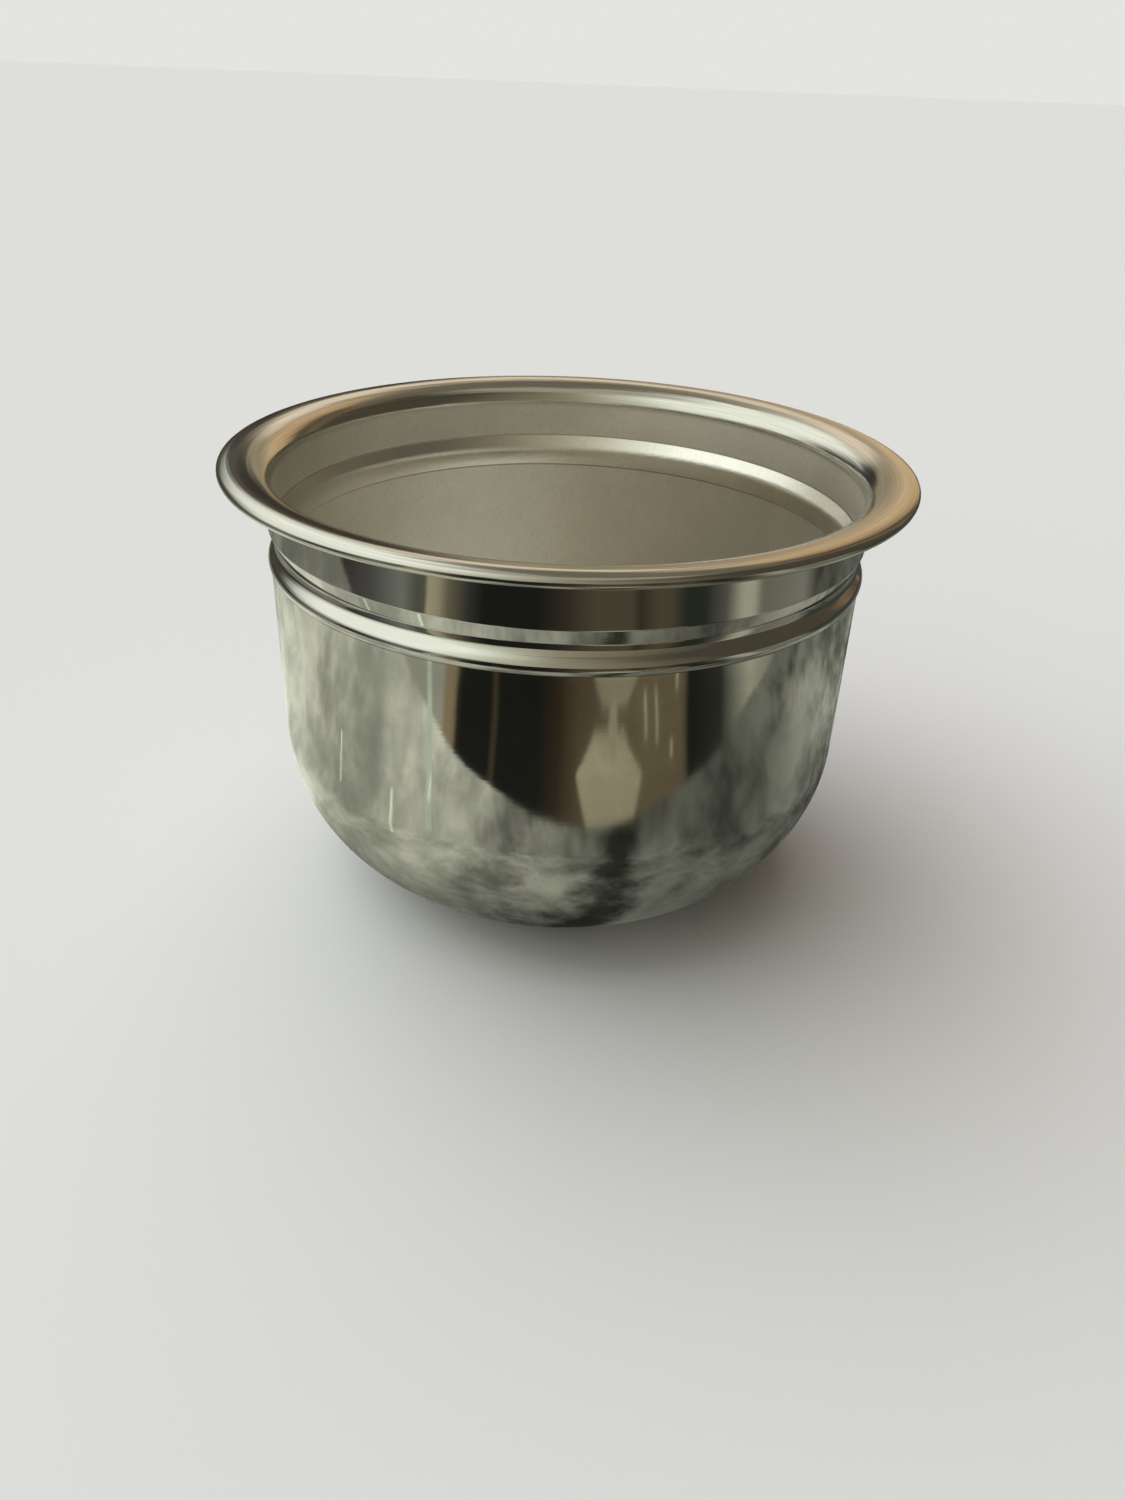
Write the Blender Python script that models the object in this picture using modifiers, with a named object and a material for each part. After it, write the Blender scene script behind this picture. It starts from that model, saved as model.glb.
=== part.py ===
"""Handle-less steel shaving mug, a turned body about the Z axis: metres, +Z up, z = 0 on the table.

A polished outer shell hangs round a satin inner bowl with air between them. The bowl's lip is flared
out over the shell's flange and hemmed round it. A vent plug and a foot ring sit in the shell's base.
"""

import math

import bpy
from mathutils import Matrix, Vector

# Overall size
BODY_RADIUS = 0.0481           # outside of the shell just under the bead
HEIGHT = 0.0737                # table to the top of the lip
BASE_CORNER = 0.0275           # outer radius of the shell's rounded bottom
WALL_TAPER = 0.0005            # how much narrower the wall would be if it ran on to the base

# Sheets and clearances
SHELL_SHEET = 0.0004           # thickness of the shell's steel
BOWL_SHEET = 0.0004            # thickness of the bowl's steel
SEAT_GAP = 0.0003              # clearance between pieces that touch on the real mug
AIR_GAP = 0.0025               # insulating air between the bowl and the shell, side and base

# Neck and lip
NECK_STAND = 0.0001            # how far the neck stands out past the body
LIP_OVERHANG = 0.0068          # neck's outside to the outermost edge of the lip
EDGE_WIDTH = 0.0021            # outermost edge of the lip to its highest circle
FLARE_RISE = 0.0038            # height of the flare, from the neck's straight wall to the crest
HEM_DROOP = math.radians(30)   # slope of the lip where it is folded over

# Groove and bead under the neck; levels are measured down from the lip's crest
NECK_FOOT = 0.0103             # where the neck turns in to the groove
WAIST_TOP = 0.0127
WAIST_FOOT = 0.0139
BEAD_TOP = 0.0152
BEAD_FOOT = 0.0163
CREASE = 0.0169                # where the bead meets the body
GROOVE_DEPTH = 0.0010          # neck's outside to the bottom of the groove
BEAD_STAND = 0.0004            # how far the bead stands out past the body
GROOVE_ROUND = 0.0007
BEAD_ROUND = 0.0006
CREASE_ROUND = 0.0002

# Inside of the bowl, where the groove shows as a rounded ridge
RIDGE_HEIGHT = 0.0031          # straight part of the ridge
RIDGE_STEP = 0.0002            # how far the wall under the ridge lies behind it
RIDGE_ROUND = 0.0010

# Base
FOOT_STAND = 0.0005            # how far the foot ring holds the steel off the table
RECESS_RADIUS = 0.0170
RECESS_DEPTH = 0.0016
RECESS_ROUND = 0.0004
FOOT_BORE = 0.0050             # inner radius of the foot ring
FOOT_ROUND = 0.0005
VENT_RADIUS = 0.0020
PLUG_HEAD_LIP = 0.0016         # how far the plug's head covers the steel round the vent
PLUG_BARB_LIP = 0.0006         # the same for the barb behind it
PLUG_FLANGE = 0.0006           # thickness of the plug's head and of its barb

# Fineness of the round shapes
SEGMENTS = 48
FLARE_STEPS = 5
SHOULDER_STEPS = 2
FOLD_STEPS = 6
FINE_TURN = math.radians(46)   # largest turn between two points of a small round
WIDE_TURN = math.radians(15)   # the same on the rounded bottom

# Sizes that follow
STACK = BOWL_SHEET + SEAT_GAP + SHELL_SHEET
HEM = STACK + SEAT_GAP + BOWL_SHEET
NECK_RADIUS = BODY_RADIUS + NECK_STAND
NECK_BORE = NECK_RADIUS - STACK
CREST_RADIUS = NECK_RADIUS + LIP_OVERHANG - EDGE_WIDTH
FLARE_WIDTH = CREST_RADIUS - NECK_BORE
FLARE_FOOT = HEIGHT - FLARE_RISE
SHOULDER_RADIUS = (EDGE_WIDTH - HEM / 2) / math.sin(HEM_DROOP) + HEM / 2
WAIST_RADIUS = NECK_RADIUS - GROOVE_DEPTH
BEAD_RADIUS = BODY_RADIUS + BEAD_STAND
RIDGE_RADIUS = WAIST_RADIUS - STACK
RIDGE_LIFT = STACK * math.tan(math.atan2(GROOVE_DEPTH, WAIST_TOP - NECK_FOOT) / 2)
RIDGE_TOP = NECK_FOOT - RIDGE_LIFT
RIDGE_SHOULDER = WAIST_TOP - RIDGE_LIFT
RIDGE_FOOT = RIDGE_SHOULDER + RIDGE_HEIGHT
ROOF = FOOT_STAND + RECESS_DEPTH
BOWL_FLOOR = ROOF + SHELL_SHEET + AIR_GAP + BOWL_SHEET
BOWL_FOOT_RADIUS = BODY_RADIUS - WALL_TAPER - SHELL_SHEET - AIR_GAP - BOWL_SHEET
BOWL_CORNER = BASE_CORNER - SHELL_SHEET - AIR_GAP - BOWL_SHEET


def clear_scene():
    for old in list(bpy.data.objects):
        bpy.data.objects.remove(old, do_unlink=True)


def new_material(name, colour, metallic, roughness):
    material = bpy.data.materials.new(name)
    material.use_nodes = True
    shader = material.node_tree.nodes["Principled BSDF"]
    shader.inputs["Base Color"].default_value = (*colour, 1.0)
    shader.inputs["Metallic"].default_value = metallic
    shader.inputs["Roughness"].default_value = roughness
    material.diffuse_color = (*colour, 1.0)
    return material


def rounded(corners):
    """Points along straight runs between (radius, height, round) corners, with an arc at each round.

    A corner whose round is 0 stays sharp.
    """
    places = [Vector((radius, height)) for radius, height, _ in corners]
    points = [places[0]]
    for i, (_, _, round_radius) in enumerate(corners[1:-1], start=1):
        before, at, after = places[i - 1 : i + 2]
        if not round_radius:
            points.append(at)
            continue
        into, out = (at - before).normalized(), (after - at).normalized()
        turn = into.angle_signed(out)
        reach = round_radius * math.tan(abs(turn) / 2)
        side = Vector((into.y, -into.x)) * math.copysign(1, turn)
        centre = at - into * reach + side * round_radius
        widest = WIDE_TURN if round_radius > BASE_CORNER / 2 else FINE_TURN
        steps = max(1, math.ceil(abs(turn) / widest))
        for step in range(steps + 1):
            arm = Vector(-side) * round_radius
            arm.rotate(Matrix.Rotation(-turn * step / steps, 2))
            points.append(centre + arm)
    points.append(places[-1])
    return points


def offset(points, distance):
    """The same run of points moved sideways, to the right of its direction, with mitred corners."""
    moved = []
    for i, point in enumerate(points):
        into = (point - points[max(i - 1, 0)]).normalized()
        out = (points[min(i + 1, len(points) - 1)] - point).normalized()
        along = (into + out).normalized()
        right = Vector((along.y, -along.x))
        half_turn = (into if into.length else out).dot(along)
        moved.append(point + right * distance / half_turn)
    return moved


def lip_curve(inset):
    """The flare and the drooping shoulder, this far under the lip's upper face, from the neck outwards."""
    points = []
    for step in range(FLARE_STEPS + 1):
        turn = math.pi / 2 * step / FLARE_STEPS
        cosine, sine = math.cos(turn), math.sin(turn)
        on_face = Vector((CREST_RADIUS - FLARE_WIDTH * cosine, FLARE_FOOT + FLARE_RISE * sine))
        under = Vector((cosine / FLARE_WIDTH, -sine / FLARE_RISE)).normalized()
        points.append(on_face + under * inset)
    return points + shoulder(inset)[1:]


def shoulder(inset):
    """The lip between its crest and the fold of the hem, from the crest outwards."""
    centre = Vector((CREST_RADIUS, HEIGHT - SHOULDER_RADIUS))
    reach = SHOULDER_RADIUS - inset
    turns = [HEM_DROOP * step / SHOULDER_STEPS for step in range(SHOULDER_STEPS + 1)]
    return [centre + Vector((math.sin(turn), math.cos(turn))) * reach for turn in turns]


def hem_fold(inset):
    """The half turn that carries the bowl's sheet round the edge of the shell's flange."""
    centre = shoulder(HEM / 2)[-1]
    turns = [HEM_DROOP + math.pi * step / FOLD_STEPS for step in range(1, FOLD_STEPS)]
    return [centre + Vector((math.sin(turn), math.cos(turn))) * (HEM / 2 - inset) for turn in turns]


def turned(name, outline, material, collection, ring=True):
    """A solid made by turning an outline about Z. A ring's outline is closed; other outlines end on Z."""
    area = sum(a.x * b.y - b.x * a.y for a, b in zip(outline, outline[1:] + outline[:1]))
    if area > 0:
        outline = outline[::-1]
    mesh = bpy.data.meshes.new(name)
    edges = [(i, i + 1) for i in range(len(outline) - 1)]
    if ring:
        edges.append((len(outline) - 1, 0))
    mesh.from_pydata([(point.x, 0, point.y) for point in outline], edges, [])
    mesh.materials.append(material)
    piece = bpy.data.objects.new(name, mesh)
    collection.objects.link(piece)
    screw = piece.modifiers.new("Turn", "SCREW")
    screw.axis = "Z"
    screw.angle = 2 * math.pi
    screw.steps = SEGMENTS
    screw.render_steps = SEGMENTS
    screw.use_merge_vertices = True
    screw.merge_threshold = 0.00001
    screw.use_smooth_shade = True
    return piece


def make_inner_bowl(collection):
    """Satin steel bowl, drawn in one piece with its ridge and flared lip, and hemmed at the edge."""
    wall = rounded([
        (0, BOWL_FLOOR, 0),
        (BOWL_FOOT_RADIUS, BOWL_FLOOR, BOWL_CORNER),
        (RIDGE_RADIUS + RIDGE_STEP, HEIGHT - RIDGE_FOOT - RIDGE_STEP, 0),
        (RIDGE_RADIUS, HEIGHT - RIDGE_FOOT, 0),
        (RIDGE_RADIUS, HEIGHT - RIDGE_SHOULDER, RIDGE_ROUND),
        (NECK_BORE, HEIGHT - RIDGE_TOP, 0),
        (NECK_BORE, FLARE_FOOT, 0),
    ])
    inside = wall[:-1] + lip_curve(0) + hem_fold(0) + shoulder(HEM)[::-1]
    back = offset(wall, BOWL_SHEET)[:-1] + lip_curve(BOWL_SHEET) + hem_fold(BOWL_SHEET)
    back += shoulder(HEM - BOWL_SHEET)[::-1]
    satin = new_material("satin_steel", (0.56, 0.54, 0.47), 1.0, 0.42)
    turned("inner_bowl", inside + back[::-1], satin, collection, ring=False)


def make_outer_shell(collection):
    """Polished steel shell, drawn in one piece, with its flange held in the bowl's hem."""
    wall = rounded([
        (NECK_RADIUS, FLARE_FOOT, 0),
        (NECK_RADIUS, HEIGHT - NECK_FOOT, GROOVE_ROUND),
        (WAIST_RADIUS, HEIGHT - WAIST_TOP, GROOVE_ROUND),
        (WAIST_RADIUS, HEIGHT - WAIST_FOOT, GROOVE_ROUND),
        (BEAD_RADIUS, HEIGHT - BEAD_TOP, BEAD_ROUND),
        (BEAD_RADIUS, HEIGHT - BEAD_FOOT, BEAD_ROUND),
        (BODY_RADIUS, HEIGHT - CREASE, CREASE_ROUND),
        (BODY_RADIUS - WALL_TAPER, FOOT_STAND, BASE_CORNER),
        (RECESS_RADIUS, FOOT_STAND, RECESS_ROUND),
        (RECESS_RADIUS, ROOF, RECESS_ROUND),
        (VENT_RADIUS, ROOF, 0),
    ])
    outside = lip_curve(STACK)[::-1] + wall[1:]
    inside = lip_curve(STACK - SHELL_SHEET)[::-1] + offset(wall, SHELL_SHEET)[1:]
    polished = new_material("polished_steel", (0.58, 0.57, 0.52), 1.0, 0.12)
    turned("outer_shell", outside + inside[::-1], polished, collection)


def make_vent_plug(collection):
    """Rubber plug in the hole that lets warm air out of the gap while the hem is closed."""
    stem = VENT_RADIUS - SEAT_GAP
    head = VENT_RADIUS + PLUG_HEAD_LIP
    head_top = ROOF - SEAT_GAP
    barb_foot = ROOF + SHELL_SHEET + SEAT_GAP
    outline = rounded([
        (0, barb_foot + PLUG_FLANGE, 0),
        (stem, barb_foot + PLUG_FLANGE, 0),
        (VENT_RADIUS + PLUG_BARB_LIP, barb_foot, 0),
        (stem, barb_foot, 0),
        (stem, head_top, 0),
        (head, head_top, 0),
        (head, head_top - PLUG_FLANGE, 0),
        (0, head_top - PLUG_FLANGE, 0),
    ])
    rubber = new_material("plug_rubber", (0.03, 0.03, 0.03), 0.0, 0.6)
    turned("vent_plug", outline, rubber, collection, ring=False)


def make_foot_ring(collection):
    """Silicone ring pressed into the base recess, proud of the steel so that the mug can't slide."""
    outer = RECESS_RADIUS - SEAT_GAP
    top = ROOF - SEAT_GAP
    corners = [(FOOT_BORE, top), (outer, top), (outer, 0), (FOOT_BORE, 0)]
    start = ((FOOT_BORE + outer) / 2, top, 0)
    outline = rounded([start, *[(*corner, FOOT_ROUND) for corner in corners[1:] + corners[:1]], start])[1:]
    silicone = new_material("foot_silicone", (0.07, 0.07, 0.07), 0.0, 0.55)
    turned("foot_ring", outline, silicone, collection)


def main():
    clear_scene()
    mug = bpy.data.collections.new("shaving_mug")
    bpy.context.scene.collection.children.link(mug)
    make_inner_bowl(mug)
    make_outer_shell(mug)
    make_vent_plug(mug)
    make_foot_ring(mug)


main()
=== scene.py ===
import math

import bmesh
import bpy
from mathutils import Matrix, Vector


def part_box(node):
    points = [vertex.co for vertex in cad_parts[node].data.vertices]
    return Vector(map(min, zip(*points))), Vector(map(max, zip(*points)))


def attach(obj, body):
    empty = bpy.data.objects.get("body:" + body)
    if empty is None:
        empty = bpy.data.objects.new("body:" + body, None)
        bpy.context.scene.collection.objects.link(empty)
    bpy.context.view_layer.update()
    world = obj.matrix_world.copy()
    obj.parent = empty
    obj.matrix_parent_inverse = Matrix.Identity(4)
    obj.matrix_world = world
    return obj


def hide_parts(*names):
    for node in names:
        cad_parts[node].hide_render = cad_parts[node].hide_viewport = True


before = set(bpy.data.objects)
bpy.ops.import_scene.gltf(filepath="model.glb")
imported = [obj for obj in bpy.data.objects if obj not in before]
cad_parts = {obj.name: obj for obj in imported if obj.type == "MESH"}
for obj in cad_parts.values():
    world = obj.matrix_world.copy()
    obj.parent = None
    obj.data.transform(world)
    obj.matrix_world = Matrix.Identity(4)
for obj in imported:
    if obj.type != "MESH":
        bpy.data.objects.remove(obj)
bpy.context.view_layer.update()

# ---------------------------------------------------------------------------------------------
# Inner bowl. It is deep-drawn from one stainless sheet and satin-finished inside. Its lip is
# flared, polished, and folded back under itself to grip the flange of the shell.
# ---------------------------------------------------------------------------------------------
sheet = 0.0004
seam = 0.0003                  # clearance between sheets that touch
hem = 3 * sheet + 2 * seam     # the folded edge: bowl, shell flange and bowl again
bowl_low, bowl_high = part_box("inner_bowl")
lip_radius = bowl_high.x
lip_top = bowl_high.z
bowl_floor = bowl_low.z + sheet
bowl_foot_radius = 0.0443      # where the tapered wall would meet the floor
bowl_corner = 0.0242
bowl_corner_steps = 30
neck_bore = 0.0471
neck_foot_round = 0.0002
ridge_bore = 0.0461
ridge_top = lip_top - 0.0101
ridge_shoulder = lip_top - 0.0125
ridge_round = 0.0007
ridge_foot = lip_top - 0.0156
ridge_step = 0.00045           # how far the wall under the ridge stands back
step_round = 0.0001
crest_radius = lip_radius - 0.0021
flare_rise = 0.0038
droop = math.radians(30)       # slope of the lip where it folds


def draw_outline(name, corners):
    """One vertex extruded from corner to corner in the XZ plane, with the rounds bevelled in afterwards.

    A corner is (radius, height), or (radius, height, length of edge that the round takes, segments).
    """
    bpy.ops.object.select_all(action="DESELECT")
    bpy.ops.mesh.primitive_plane_add(size=sheet, location=(corners[0][0], 0, corners[0][1]))
    bpy.ops.object.transform_apply(location=True, rotation=False, scale=False)
    piece = bpy.context.object
    piece.name = piece.data.name = name
    bpy.ops.object.mode_set(mode="EDIT")
    bpy.ops.mesh.select_all(action="SELECT")
    bpy.ops.mesh.merge(type="CENTER")
    places = [Vector((radius, 0, height)) for radius, height, *_ in corners]
    for here, there in zip(places, places[1:]):
        bpy.ops.mesh.extrude_region_move(TRANSFORM_OT_translate={"value": there - here})
    for place, corner in zip(places, corners):
        if len(corner) > 2:
            bpy.ops.mesh.select_all(action="DESELECT")
            drawing = bmesh.from_edit_mesh(piece.data)
            nearest = min(drawing.verts, key=lambda vertex: (vertex.co - place).length)
            nearest.select_set(True)
            drawing.select_flush_mode()
            bpy.ops.mesh.bevel(affect="VERTICES", offset=corner[2], segments=corner[3])
    return piece


def spin_outline(piece, closed, steps=256, crisp=math.radians(40)):
    """Turns the drawn outline about Z into one closed surface, with its edges crisp past this angle.

    An outline that isn't closed begins and ends on the axis. A closed one is a ring's section.
    """
    if closed:
        ends = [vertex for vertex in bmesh.from_edit_mesh(piece.data).verts if len(vertex.link_edges) < 2]
        bpy.ops.mesh.select_all(action="DESELECT")
        for vertex in ends:
            vertex.select_set(True)
        bpy.ops.mesh.edge_face_add()
    bpy.ops.mesh.select_all(action="SELECT")
    bpy.ops.mesh.spin(steps=steps, angle=math.tau, use_auto_merge=True, center=(0, 0, 0), axis=(0, 0, 1))
    bpy.ops.mesh.select_all(action="SELECT")
    bpy.ops.mesh.remove_doubles(threshold=0.000001)
    bpy.ops.mesh.normals_make_consistent(inside=False)
    bpy.ops.object.mode_set(mode="OBJECT")
    bpy.ops.object.shade_smooth_by_angle(angle=crisp)


def flare_places(under, steps=14):
    """Places up the flare to the crest, this far under the lip's upper face."""
    width = crest_radius - neck_bore
    places = []
    for step in range(steps):
        turn = math.pi / 2 * step / steps
        on_face = Vector((crest_radius - width * math.cos(turn),
                          lip_top - flare_rise * (1 - math.sin(turn))))
        inwards = Vector((math.cos(turn) / width, -math.sin(turn) / flare_rise)).normalized()
        places.append(tuple(on_face + inwards * under))
    return places


def droop_places(under, steps=6):
    """Places from the crest to the fold, this far under the lip's upper face."""
    shoulder = (lip_radius - crest_radius - hem / 2) / math.sin(droop) + hem / 2
    places = []
    for step in range(steps + 1):
        turn = droop * step / steps
        arm = shoulder - under
        places.append((crest_radius + math.sin(turn) * arm, lip_top - shoulder + math.cos(turn) * arm))
    return places


def fold_places(inset, steps=12):
    """Places round the half turn of the fold, this far inside its outer face."""
    centre = droop_places(hem / 2)[-1]
    arm = hem / 2 - inset
    turns = [droop + math.pi * step / steps for step in range(1, steps)]
    return [(centre[0] + math.sin(turn) * arm, centre[1] + math.cos(turn) * arm) for turn in turns]


bowl_wall = [
    (ridge_bore + ridge_step, ridge_foot - step_round, step_round, 2),
    (ridge_bore, ridge_foot, step_round, 2),
    (ridge_bore, ridge_shoulder, ridge_round, 8),
    (neck_bore, ridge_top, neck_foot_round, 4),
]
bowl_inside = [
    (0, bowl_floor), (bowl_foot_radius, bowl_floor, bowl_corner, bowl_corner_steps), *bowl_wall,
    *flare_places(0), *droop_places(0), *fold_places(0), *droop_places(hem)[::-1],
]
bowl_back = [
    (0, bowl_low.z),
    (bowl_foot_radius + sheet, bowl_low.z, bowl_corner + sheet, bowl_corner_steps),
    *[(radius + sheet, height, *rounding) for radius, height, *rounding in bowl_wall],
    *flare_places(sheet), *droop_places(sheet), *fold_places(sheet), *droop_places(hem - sheet)[::-1],
]
bowl = draw_outline("bowl", bowl_inside + bowl_back[::-1])
spin_outline(bowl, closed=False)
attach(bowl, "root")
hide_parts("inner_bowl")


class Wire:
    """The output of a node. Arithmetic on it adds Math nodes, and node() adds any other node."""

    def __init__(self, tree, socket=None):
        self.tree = tree
        self.socket = socket

    def node(self, kind, sockets, output=0, stops=(), **settings):
        added = self.tree.nodes.new("ShaderNode" + kind)
        for name, value in settings.items():
            setattr(added, name, value)
        if stops:
            for _ in stops[2:]:
                added.color_ramp.elements.new(1)
            for element, (place, colour) in zip(added.color_ramp.elements, stops):
                element.position = place
                element.color = (*colour, 1)
        for name, value in sockets.items():
            if isinstance(value, Wire):
                self.tree.links.new(value.socket, added.inputs[name])
            else:
                added.inputs[name].default_value = value
        return Wire(self.tree, added.outputs[output])

    def beside(self, output):
        """Another output of the same node."""
        return Wire(self.tree, self.socket.node.outputs[output])

    def math(self, operation, *values):
        return self.node("Math", dict(enumerate(values)), operation=operation)

    def __add__(self, other):
        return self.math("ADD", self, other)

    def __sub__(self, other):
        return self.math("SUBTRACT", self, other)

    def __rsub__(self, other):
        return self.math("SUBTRACT", other, self)

    def __mul__(self, other):
        return self.math("MULTIPLY", self, other)

    def __truediv__(self, other):
        return self.math("DIVIDE", self, other)

    def __pow__(self, other):
        return self.math("POWER", self, other)

    def __abs__(self):
        return self.math("ABSOLUTE", self)

    __radd__ = __add__
    __rmul__ = __mul__

    def ease(self, start, end, low=0.0, high=1.0):
        """This value taken smoothly from start..end to low..high."""
        return self.node("MapRange", {0: self, 1: start, 2: end, 3: low, 4: high},
                         interpolation_type="SMOOTHSTEP")

    def mix(self, first, second):
        """The first colour where this mask is 0 and the second where it is 1."""
        colours = [value if isinstance(value, Wire) else (*value, 1) for value in (first, second)]
        return self.node("Mix", {0: self, 6: colours[0], 7: colours[1]}, 2, data_type="RGBA")

    def noise(self, place, scale, detail=2.0, rough=0.5, twist=0.0):
        return self.node("TexNoise", {"Vector": place, "Scale": scale, "Detail": detail,
                                      "Roughness": rough, "Distortion": twist})

    def bump(self, height, depth, **under):
        return self.node("Bump", {"Height": height, "Distance": depth, **under})


def new_finish(piece, name, **constants):
    """A material on this piece, with its shader and a Wire to start its nodes from."""
    material = bpy.data.materials.new(name)
    material.use_nodes = True
    piece.data.materials.append(material)
    shader = material.node_tree.nodes["Principled BSDF"]
    for socket, value in constants.items():
        shader.inputs[socket.replace("_", " ")].default_value = value
    return shader, Wire(material.node_tree)


def wire_up(shader, **wires):
    for socket, wire in wires.items():
        wire.tree.links.new(wire.socket, shader.inputs[socket.replace("_", " ")])


def turned_on(start):
    """The place on the piece, its height, and noise lines that run round it as a lathe leaves them.

    lines(pitch, reach) are this far apart, and each fades out over about this share of a turn.
    """
    place = start.node("TexCoord", {}, "Object")
    x = start.node("SeparateXYZ", {0: place})
    y = x.beside("Y")
    height = x.beside("Z")
    radius = (x * x + y * y) ** 0.5 + 0.00001

    def lines(pitch, reach):
        across = start.node("CombineXYZ", {0: radius / pitch, 1: height / pitch, 2: x / radius / reach})
        return start.node("TexNoise", {"Vector": across, "W": y / radius / reach,
                                       "Scale": 1.0, "Detail": 2.0}, noise_dimensions="4D")

    return place, height, lines


polish_foot = lip_top - 0.0047         # the lip's polish starts here and is full at polish_top
polish_top = lip_top - 0.0030
turning_pitch = 0.00024                # between the lines that the lathe leaves
fine_pitch = 0.00009
broad_pitch = 0.00060
grain_depth = 0.000026
turning_depth = 0.0000030
broad_depth = 0.000045
painted_bright_satin_dark = (0.80, 0.775, 0.71)
painted_bright_satin_light = (0.88, 0.855, 0.79)
satin_grain = (0.62, 0.60, 0.54)
lip_steel = (0.60, 0.585, 0.53)
lip_line = (0.45, 0.43, 0.385)
pit_shade = (0.12, 0.10, 0.08)
ridge_shade = (0.14, 0.125, 0.10)

shader, start = new_finish(bowl, "satin_steel", Metallic=1.0, Anisotropic=0.25)
place, height, lines = turned_on(start)
lip = height.ease(polish_foot, polish_top)
ridge = height.ease(ridge_foot - 0.0003, ridge_foot) * height.ease(ridge_top + 0.0003, ridge_top)
turning = lines(turning_pitch, 0.25)
fine_turning = lines(fine_pitch, 0.12)
broad_turning = lines(broad_pitch, 0.4)
grain = start.noise(place, 1700.0, 2.0)
cloud = start.noise(place, 45.0, 5.0, 0.6)
cells = start.node("TexVoronoi", {"Vector": place, "Scale": 130.0})
pits = cells.ease(0.030, 0.016) * start.node("SeparateColor", {0: cells.beside("Color")}).ease(0.90, 0.91)
# Painted brightness: the satin inside has a lighter colour than the lip's steel, which stands in for light
# in the bowl. The cloud varies its tone at random.
steel = lip.mix(cloud.ease(0.35, 0.65).mix(painted_bright_satin_dark, painted_bright_satin_light), lip_steel)
steel = (turning.ease(0.35, 0.65) * (0.02 + 0.43 * lip)).mix(steel, lip_line)
steel = (grain.ease(0.45, 0.70) * (1 - lip) * 0.22).mix(steel, satin_grain)
steel = (pits * (1 - lip)).mix(steel, pit_shade)
# Painted shade: dark lines in the step under the ridge and in the corner over it.
shade_under_ridge = (height.ease(ridge_foot - 0.00045, ridge_foot - 0.00012)
               * height.ease(ridge_foot + 0.00004, ridge_foot - 0.00004))
shade_over_ridge = (height.ease(ridge_top - 0.00010, ridge_top)
              * height.ease(ridge_top + 0.00022, ridge_top + 0.00006))
steel = (shade_under_ridge * 0.80 + shade_over_ridge * (0.35 + cloud * 0.4)).mix(steel, ridge_shade)
roughness = 0.40 + cloud * 0.08 - ridge * 0.14 - lip * 0.33 + turning * (0.01 + 0.06 * lip)
surface = start.bump(grain * (1 - lip), grain_depth)
surface = start.bump(turning * (0.1 + 1.6 * lip) + fine_turning * lip, turning_depth, Normal=surface)
surface = start.bump(broad_turning * lip, broad_depth, Normal=surface)
wire_up(shader, Base_Color=steel, Roughness=roughness, Normal=surface)

# ---------------------------------------------------------------------------------------------
# Outer shell. It is spun from a second stainless sheet and polished outside, with a turned-in
# groove and a raised bead under the neck. Its flange is held in the fold of the bowl's lip.
# ---------------------------------------------------------------------------------------------
shell_low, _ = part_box("outer_shell")
flange_under = sheet + seam    # how far the flange lies under the lip's upper face
body_radius = 0.0481
body_foot_radius = body_radius - 0.0005
body_corner = 0.0275
body_corner_steps = 36
neck_radius = body_radius + 0.0001
neck_foot = lip_top - 0.0103
neck_round = 0.00014
waist_radius = neck_radius - 0.0010
waist_top = lip_top - 0.0127
waist_foot = lip_top - 0.0139
waist_foot_round = 0.00060
bead_radius = body_radius + 0.0004
bead_top = lip_top - 0.0152
bead_top_round = 0.00062
bead_foot = lip_top - 0.0163
bead_foot_round = 0.00042
crease = lip_top - 0.0169
crease_round = 0.00007
recess_radius = 0.0170
recess_roof = shell_low.z + 0.0016
recess_round = 0.0004
recess_back_foot_round = 0.0001
recess_back_round = 0.0007
vent_radius = 0.0020
vent_round = 0.00005
shell_wall = [
    (neck_radius, neck_foot, neck_round, 4),
    (waist_radius, waist_top, neck_round, 4),
    (waist_radius, waist_foot, waist_foot_round, 8),
    (bead_radius, bead_top, bead_top_round, 9),
    (bead_radius, bead_foot, bead_foot_round, 6),
    (body_radius, crease, crease_round, 3),
]
shell_outside = [
    *droop_places(flange_under + sheet)[::-1], *flare_places(flange_under + sheet)[::-1], *shell_wall,
    (body_foot_radius, shell_low.z, body_corner, body_corner_steps),
    (recess_radius, shell_low.z, recess_round, 4),
    (recess_radius, recess_roof, recess_round, 4),
    (vent_radius, recess_roof, vent_round, 2),
]
shell_back = [
    *droop_places(flange_under)[::-1], *flare_places(flange_under)[::-1],
    *[(radius - sheet, height, *rounding) for radius, height, *rounding in shell_wall],
    (body_foot_radius - sheet, shell_low.z + sheet, body_corner - sheet, body_corner_steps),
    (recess_radius + sheet, shell_low.z + sheet, recess_back_foot_round, 2),
    (recess_radius + sheet, recess_roof + sheet, recess_back_round, 4),
    (vent_radius, recess_roof + sheet, vent_round, 2),
]
shell = draw_outline("shell", shell_outside + shell_back[::-1])
spin_outline(shell, closed=True)
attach(shell, "root")
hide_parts("outer_shell")

polished_pitch = 0.00026
polished_fine_pitch = 0.00010
polished_depth = 0.0000011
wave_depth = 0.00014           # slow waves that the spinning leaves in the sheet
polished_clear = (0.60, 0.59, 0.54)
polished_haze_and_reflection = (0.45, 0.455, 0.405)
polished_line = (0.50, 0.49, 0.44)
crease_shade = (0.14, 0.13, 0.11)

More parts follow.
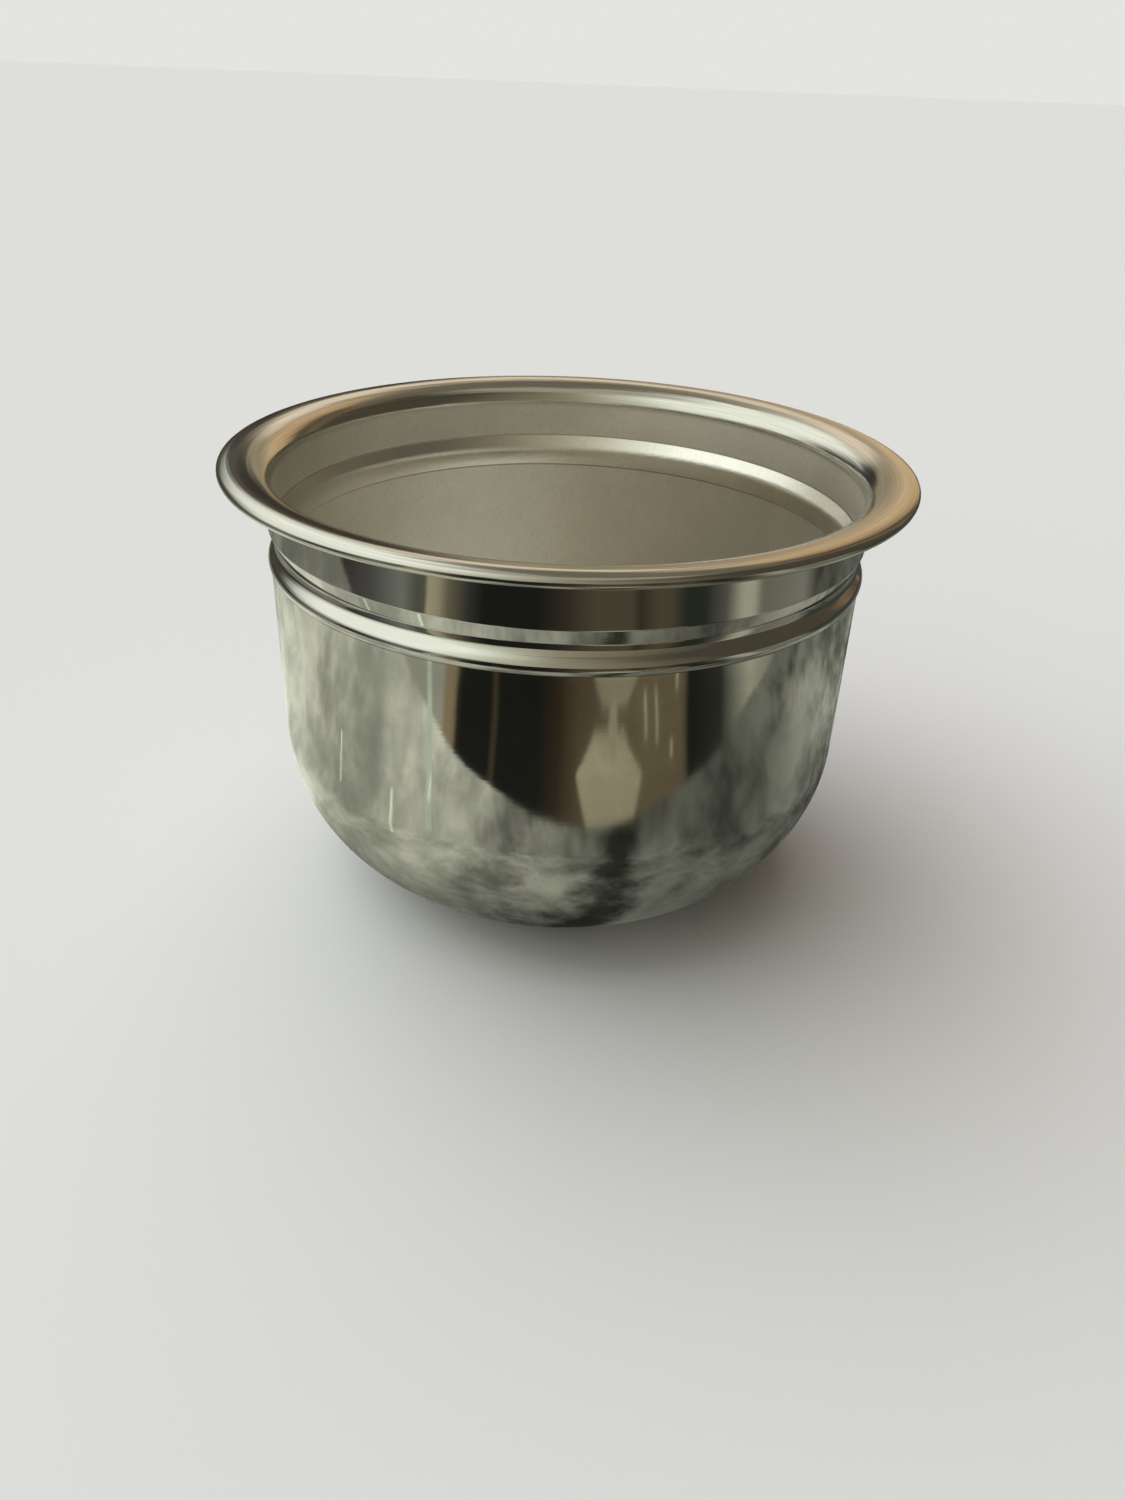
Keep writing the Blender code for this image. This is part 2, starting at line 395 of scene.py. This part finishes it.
shader, start = new_finish(shell, "polished_steel", Metallic=1.0, Anisotropic=0.15)
place, height, lines = turned_on(start)
turning = lines(polished_pitch, 0.3)
fine_turning = lines(polished_fine_pitch, 0.15)
cloud = start.noise(place, 55.0, 7.0, 0.62, 0.6)
patch = start.noise(place, 26.0, 4.0, 0.55, 0.4)
# Real haze together with a painted reflection: a cloudy mottle, strongest below the bead, stands in for
# the mottled stone that the steel mirrors.
below_bead = height.ease(crease + 0.0004, crease - 0.0010)
haze_and_reflection = (cloud * 0.6 + patch * 0.4).ease(0.38, 0.62) * (0.25 + 0.75 * below_bead)
steel = haze_and_reflection.mix(polished_clear, polished_haze_and_reflection)
steel = (turning.ease(0.35, 0.65) * 0.12).mix(steel, polished_line)
# Painted shade: a dark line in the crease under the bead.
shade_in_crease = (height.ease(crease - 0.00022, crease - 0.00006)
             * height.ease(crease + 0.00016, crease + 0.00002))
steel = (shade_in_crease * (0.35 + cloud * 0.5)).mix(steel, crease_shade)
roughness = 0.03 + haze_and_reflection * 0.05 + turning * 0.025
surface = start.bump(turning + fine_turning * 0.6, polished_depth)
surface = start.bump(start.noise(place, 60.0, 1.0), wave_depth, Normal=surface)
wire_up(shader, Base_Color=steel, Roughness=roughness, Normal=surface)

# ---------------------------------------------------------------------------------------------
# Vent plug. A moulded rubber button pushed through the hole in the base, which let warm air out
# of the gap while the lip was folded. A barb behind the sheet holds it.
# ---------------------------------------------------------------------------------------------
plug_low, plug_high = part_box("vent_plug")
head_radius = plug_high.x
head_dome = 0.0009             # how far the dome takes in the head's face
head_round = 0.0006
head_rim = 0.0003
head_thickness = 0.0006
stem_radius = vent_radius - seam
barb_foot = plug_high.z - head_thickness
barb_reach = 0.0009
barb_round = 0.00015
tip_round = 0.0002
moulded_round = 0.0001
plug = draw_outline("plug", [
    (0, plug_low.z),
    (head_radius - head_dome, plug_low.z, head_round, 5),
    (head_radius, plug_low.z + head_rim, moulded_round, 3),
    (head_radius, plug_low.z + head_thickness, moulded_round, 3),
    (stem_radius, plug_low.z + head_thickness, moulded_round, 3),
    (stem_radius, barb_foot, moulded_round, 3),
    (stem_radius + barb_reach, barb_foot, barb_round, 3),
    (stem_radius, plug_high.z, tip_round, 3),
    (0, plug_high.z),
])
spin_outline(plug, closed=False, steps=96)
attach(plug, "root")
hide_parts("vent_plug")

black_rubber = (0.026, 0.026, 0.025)
dusty_rubber = (0.062, 0.060, 0.056)
rubber_texture_depth = 0.000012

shader, start = new_finish(plug, "plug_rubber")
place = start.node("TexCoord", {}, "Object")
texture = start.noise(place, 5200.0, 3.0)
dust = start.noise(place, 700.0, 5.0, 0.65).ease(0.45, 0.75)
wire_up(shader, Base_Color=dust.mix(black_rubber, dusty_rubber),
        Roughness=0.52 + dust * 0.2 + texture * 0.08, Normal=start.bump(texture, rubber_texture_depth))

# ---------------------------------------------------------------------------------------------
# Foot ring. A flat silicone ring pressed into the recess of the base, where it stands proud of
# the steel. Two shallow moulded grooves break its suction on a wet counter.
# ---------------------------------------------------------------------------------------------
ring_low, ring_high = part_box("foot_ring")
ring_bore = 0.0050
ring_round = 0.0005
ring_top = ring_high.z
ring_foot = ring_low.z
groove_radii = (0.0133, 0.0089)
groove_roof = ring_foot + 0.0003
groove_floor_half = 0.0003
groove_mouth_half = 0.0007
ring_section = [
    (ring_bore, ring_top, ring_round, 5),
    (ring_high.x, ring_top, ring_round, 5),
    (ring_high.x, ring_foot, ring_round, 5),
]
for groove in groove_radii:
    ring_section += [
        (groove + groove_mouth_half, ring_foot, moulded_round, 2),
        (groove + groove_floor_half, groove_roof, moulded_round, 2),
        (groove - groove_floor_half, groove_roof, moulded_round, 2),
        (groove - groove_mouth_half, ring_foot, moulded_round, 2),
    ]
ring = draw_outline("ring", [*ring_section, (ring_bore, ring_foot, ring_round, 5)])
spin_outline(ring, closed=True, steps=160)
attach(ring, "root")
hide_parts("foot_ring")

grey_silicone = (0.062, 0.062, 0.061)
scuffed_silicone = (0.125, 0.122, 0.115)
silicone_pitch = 0.0003
silicone_depth = 0.000010

shader, start = new_finish(ring, "foot_silicone")
place, height, lines = turned_on(start)
texture = start.noise(place, 3600.0, 3.0)
dust = start.noise(place, 260.0, 6.0, 0.68).ease(0.48, 0.78)
scuffs = (height.ease(ring_foot + 0.0004, ring_foot)
          * start.noise(place, 900.0, 4.0, 0.7).ease(0.4, 0.7))
silicone = (dust * 0.6 + scuffs * 0.4).mix(grey_silicone, scuffed_silicone)
surface = start.bump(texture + lines(silicone_pitch, 0.6) * 0.4, silicone_depth)
wire_up(shader, Base_Color=silicone, Roughness=0.46 + dust * 0.22 + texture * 0.08, Normal=surface)

# ---------------------------------------------------------------------------------------------
# Floor. A plain pale sweep that runs to the horizon, matt all over. The steel doesn't mirror it:
# it mirrors the cards of the next section.
# ---------------------------------------------------------------------------------------------
def lay_card(name, size, place, turn=0.0, sides=4):
    """A flat card that lies level: an oblong of this size, or more sides in an oval of this size."""
    bpy.ops.object.select_all(action="DESELECT")
    setting = {"location": place, "rotation": (0, 0, math.radians(turn))}
    if sides == 4:
        bpy.ops.mesh.primitive_plane_add(size=1, **setting)
    else:
        bpy.ops.mesh.primitive_circle_add(vertices=sides, radius=0.5, fill_type="NGON", **setting)
    card = bpy.context.object
    card.name = name
    card.scale = (*size, 1)
    bpy.ops.object.transform_apply(location=True, rotation=True, scale=True)
    return card


floor_side = 60
floor_light = (0.715, 0.720, 0.750)
floor_dark = (0.700, 0.705, 0.735)
floor = lay_card("floor", (floor_side, floor_side), (0, 0, 0))
floor.visible_glossy = False
shader, start = new_finish(floor, "pale_floor", Roughness=0.9, Specular_IOR_Level=0.0)
tone = start.noise(start.node("TexCoord", {}, "Object"), 9.0, 3.0)
wire_up(shader, Base_Color=tone.mix(floor_dark, floor_light))

# ---------------------------------------------------------------------------------------------
# Cards that only the steel mirrors. A round card is a mottled stone counter as far as its front
# edge. Past the edge lies a dark room with a few pale things in it. They lie just over the floor.
# ---------------------------------------------------------------------------------------------
room_side = 4.0
room_level = 0.0001
near_room_level = 0.00013
pale_card_level = 0.00015
counter_level = 0.0002
streak_level = 0.0003
disc_sides = 192
counter_radius = 0.249
counter_centre = (-0.0273, 0.1543)
near_room_radius = 0.152


def glow(card, name):
    """A finish that shines by itself, on a card that only mirrors can see."""
    card.visible_camera = False
    card.visible_diffuse = False
    card.visible_shadow = False
    card.visible_transmission = False
    return new_finish(card, name, Base_Color=(0, 0, 0, 1), Specular_IOR_Level=0.0, Emission_Strength=1.0)


counter = lay_card("counter", (2 * counter_radius, 2 * counter_radius), (*counter_centre, counter_level),
                   sides=disc_sides)
shader, start = glow(counter, "stone")
place = start.node("TexCoord", {}, "Object")
x = start.node("SeparateXYZ", {0: place})
y = x.beside("Y")
reach = (x * x + y * y) ** 0.5         # from the mug's axis
mottle = start.noise(place, 36.0, 10.0, 0.72, 0.3) * 0.45 + start.noise(place, 15.0, 5.0, 0.6, 0.5) * 0.55
clear = reach.ease(0.26, 0.12, 0.2, 1.0) * x.ease(-0.06, 0.0, 0.62, 1.0)
mottle = 1 + (mottle.ease(0.37, 0.63, 0.22, 1.50) - 1) * clear
# The stone's glow is painted light: bright to the left and dim to the right, and dimmer far from it, with
# a painted shadow close to the mug.
level = x.ease(0.05, -0.07, 0.17, 0.72) + x.ease(0.05, 0.10) * y.ease(-0.05, 0.03, 0.0, 0.17)
level = level * mottle * reach.ease(0.03, 0.06, 0.35, 1.0) * reach.ease(0.13, 0.18, 1.0, 0.36)
# A ragged painted shadow runs from the mug towards the front edge.
ragged = start.noise(place, 90.0, 6.0, 0.65) * 0.030 - 0.015
shadow_streak = (abs(x + y * 0.50 + 0.0131) + ragged).ease(0.014, 0.001) * y.ease(-0.012, -0.035)
level = level * (1 - 0.85 * shadow_streak)
stone_tint = (1.0, 1.03, 0.86)
wire_up(shader, Emission_Color=start.node("Mix", {0: 1.0, 6: (*stone_tint, 1), 7: level}, 2,
                                          data_type="RGBA", blend_type="MULTIPLY"))


def azimuth_of(x, y):
    """The direction from the axis, from 0 at -180 degrees to 1 at 180."""
    return y.math("ARCTAN2", y, x) / math.tau + 0.5


def colours_round(*pairs):
    """Ramp stops from pairs of (azimuth in degrees, colour)."""
    return [((azimuth + 180) / 360, colour) for azimuth, colour in pairs]


stone_grey = (0.40, 0.40, 0.33)
tan = (0.32, 0.25, 0.155)
near_black = (0.016, 0.017, 0.014)
green_black = (0.03, 0.035, 0.025)
brown_black = (0.05, 0.04, 0.03)
dim_brown = (0.10, 0.085, 0.058)
brown = (0.20, 0.16, 0.095)
cream = (0.50, 0.45, 0.31)
deep_cream = (0.42, 0.37, 0.25)
dull_cream = (0.36, 0.32, 0.22)
pale = (0.48, 0.48, 0.38)
warm_grey = (0.28, 0.25, 0.21)
far_room_colours = colours_round(
    (-180, warm_grey), (-174, (0.22, 0.20, 0.17)), (-168, (0.05, 0.045, 0.04)), (-155, (0.10, 0.10, 0.10)),
    (-143, (0.23, 0.24, 0.21)), (-138, (0.11, 0.12, 0.10)), (-135, (0.12, 0.12, 0.10)), (-134, cream),
    (-130, deep_cream), (-127, (0.19, 0.17, 0.11)), (-120, (0.05, 0.05, 0.045)), (-115, near_black),
    (-97, near_black), (-88, brown_black), (-80, dim_brown), (-69, dim_brown), (-66, brown_black),
    (-60, dim_brown), (-56, dim_brown), (-51, green_black), (-44, green_black), (-36, (0.12, 0.12, 0.10)),
    (-30, pale), (-26, pale), (-22, (0.19, 0.19, 0.15)), (-2, (0.26, 0.26, 0.22)), (6, (0.06, 0.06, 0.05)),
    (30, (0.06, 0.07, 0.06)), (90, dim_brown), (155, (0.06, 0.055, 0.045)), (180, warm_grey),
)
near_room_colours = colours_round(
    (-180, stone_grey), (-126.5, stone_grey), (-125.5, tan), (-122.4, tan), (-122, near_black),
    (-121.5, (0.34, 0.25, 0.15)), (-120.9, near_black), (-110.2, near_black),
    (-109.3, (0.11, 0.085, 0.055)), (-108.4, near_black), (-96, near_black), (-90, (0.045, 0.033, 0.02)),
    (-84, (0.12, 0.09, 0.055)), (-70, (0.15, 0.12, 0.07)), (-64, brown), (-51, (0.17, 0.135, 0.085)),
    (-49.5, near_black), (-38, (0.04, 0.04, 0.032)), (-34, (0.18, 0.19, 0.155)), (-27, pale),
    (-19, (0.35, 0.34, 0.27)), (-11, (0.21, 0.21, 0.18)), (0, (0.30, 0.30, 0.26)), (20, stone_grey),
    (180, stone_grey),
)
room = lay_card("room", (room_side, room_side), (0, 0, room_level))
near_room = lay_card("near_room", (2 * near_room_radius, 2 * near_room_radius), (0, 0, near_room_level),
                     sides=disc_sides)
for card, colours in ((room, far_room_colours), (near_room, near_room_colours)):
    shader, start = glow(card, card.name)
    x = start.node("SeparateXYZ", {0: start.node("TexCoord", {}, "Object")})
    around = azimuth_of(x, x.beside("Y"))
    wire_up(shader, Emission_Color=start.node("ValToRGB", {0: around}, stops=colours))

# Six-sided cream cards end to end: azimuth, near and far end, width and colour of each.
for name, azimuth, near, far, width, colour in (
    ("cream_card", -74.5, 0.0895, 0.1170, 0.0370, cream),
    ("cream_card_neck", -73.5, 0.1100, 0.1260, 0.0060, deep_cream),
    ("cream_card_far", -73, 0.1225, 0.1420, 0.0340, dull_cream),
):
    middle = Matrix.Rotation(math.radians(azimuth), 3, "Z") @ Vector(((near + far) / 2, 0, 0))
    length = (far - near) / math.cos(math.radians(30))     # of the oval round the flat-ended card
    card = lay_card(name, (length, width), (middle.x, middle.y, pale_card_level), azimuth, sides=6)
    shader, start = glow(card, name)
    shader.inputs["Emission Color"].default_value = (*colour, 1)

# Narrow strips: azimuth and reach of the near end and of the far end, width and colour of each.
mint = (1.15, 1.25, 0.98)
for number, (near_azimuth, near, far_azimuth, far, width, colour) in enumerate((
    (-126.9, 0.0840, -131.8, 0.1400, 0.0034, (0.62, 0.70, 0.58)),
    (-127.8, 0.0925, -128.6, 0.1010, 0.0015, mint),
    (-138, 0.0740, -141.6, 0.0912, 0.0012, mint),
    (-162, 0.0848, -165.1, 0.1004, 0.0008, mint),
    (22.6, 0.0734, 35.6, 0.0948, 0.0020, near_black),
    (-63.2, 0.1149, -63.2, 0.1264, 0.0016, cream),
    (-59.7, 0.1132, -59.7, 0.1277, 0.0014, cream),
    (-55.0, 0.1085, -55.0, 0.1140, 0.0016, cream),
    (-53.2, 0.1271, -53.2, 0.1340, 0.0016, cream),
)):
    near_end = Matrix.Rotation(math.radians(near_azimuth), 3, "Z") @ Vector((near, 0, streak_level))
    far_end = Matrix.Rotation(math.radians(far_azimuth), 3, "Z") @ Vector((far, 0, streak_level))
    along = far_end - near_end
    card = lay_card(f"streak_{number}", (along.length, width), (near_end + far_end) / 2,
                    math.degrees(math.atan2(along.y, along.x)))
    shader, start = glow(card, card.name)
    shader.inputs["Emission Color"].default_value = (*colour, 1)

# ---------------------------------------------------------------------------------------------
# Studio light. A wide soft window to the left, warm walls behind to the right, and a dim side
# towards the right. An even, very soft overhead light carries the floor.
# ---------------------------------------------------------------------------------------------
window = (1.34, 1.40, 1.30)
dim_wall = (0.10, 0.085, 0.06)
zenith = (0.52, 0.51, 0.42)
bounce_cream = (1.10, 0.95, 0.76)
ceiling_brown = (0.20, 0.185, 0.14)
flag_black = (0.04, 0.035, 0.03)
sill_grey = (0.09, 0.08, 0.065)
under_horizon = (0.05, 0.047, 0.038)
backdrop = (0.775, 0.775, 0.750)

world = bpy.data.worlds.new("studio")
bpy.context.scene.world = world
world.use_nodes = True
start = Wire(world.node_tree)
x = start.node("SeparateXYZ", {0: start.node("TexCoord", {}, "Generated")})
z = x.beside("Z")
around = azimuth_of(x, x.beside("Y"))
azimuth = around * 360 - 180
sky = start.node("ValToRGB", {0: around}, stops=colours_round(
    (-180, window), (-140, window), (-122, (0.92, 0.96, 0.80)), (-106, (0.62, 0.62, 0.50)),
    (-92, (0.42, 0.40, 0.31)), (-75, (0.30, 0.27, 0.19)), (-48, (0.16, 0.14, 0.10)),
    (-30, (0.09, 0.08, 0.06)), (30, dim_wall), (38, (0.25, 0.18, 0.11)), (50, dim_wall),
    (60, (0.66, 0.45, 0.24)), (75, (0.78, 0.59, 0.36)), (82, (0.48, 0.38, 0.25)), (88, (0.34, 0.29, 0.20)),
    (98, (0.50, 0.43, 0.31)), (106, (0.90, 0.86, 0.72)), (116, window), (180, window),
))
sky = z.ease(0.86, 0.99).mix(sky, zenith)
# A lit patch of wall behind, a brown ceiling over it, and dark flags and sills near the horizon.
bounce = z.ease(0.36, 0.44) * z.ease(0.68, 0.58) * azimuth.ease(78, 88) * azimuth.ease(108, 98)
sky = bounce.mix(sky, bounce_cream)
ceiling = z.ease(0.70, 0.80) * azimuth.ease(20, 50) * azimuth.ease(125, 108)
sky = (ceiling * 0.95).mix(sky, ceiling_brown)
flag = z.ease(0.42, 0.30) * azimuth.ease(92, 98) * azimuth.ease(116, 108)
low_flag = z.ease(0.24, 0.14) * azimuth.ease(106, 112) * azimuth.ease(160, 135)
sky = (flag + low_flag).mix(sky, flag_black)
left_sill = z.ease(0.52, 0.14) * azimuth.ease(108, 118) * azimuth.ease(172, 140)
rear_sill = z.ease(0.30, 0.04) * (azimuth.ease(140, 172) + azimuth.ease(-100, -115)) * 0.5
sky = ((left_sill + rear_sill) * 0.92).mix(sky, sill_grey)
sky = z.ease(-0.03, 0.02).mix(under_horizon, sky)
sky = start.node("LightPath", {}, "Is Camera Ray").mix(sky, backdrop)
wire_up(world.node_tree.nodes["Background"], Color=sky)

overhead_data = bpy.data.lights.new("overhead", "SUN")
overhead_data.angle = math.radians(80)     # wide, so that its shadows are very soft
overhead_data.energy = 1.55
overhead_data.color = (1.0, 0.985, 1.0)
overhead = bpy.data.objects.new("overhead", overhead_data)
overhead.rotation_euler = Vector((-0.45, 0.35, 1.0)).to_track_quat("Z", "Y").to_euler()
overhead.visible_glossy = False
bpy.context.scene.collection.objects.link(overhead)

# ---------------------------------------------------------------------------------------------
# Camera. It looks down at the mug from close by and in front, a little tilted, as a hand-held
# one does.
# ---------------------------------------------------------------------------------------------
stand = (0.00074, -0.18822, 0.1256)
look_down = math.radians(29.7132)
tilt = math.radians(2.2926)
camera_data = bpy.data.cameras.new("camera")
camera_data.lens = 28.293
camera_data.clip_start = 0.005
camera = bpy.data.objects.new("camera", camera_data)
bpy.context.scene.collection.objects.link(camera)
camera.matrix_world = (Matrix.Translation(stand)
                       @ Matrix.Rotation(math.pi / 2 - look_down, 4, "X")
                       @ Matrix.Rotation(tilt, 4, "Z"))
bpy.context.scene.camera = camera
bpy.context.scene.view_settings.view_transform = "Standard"
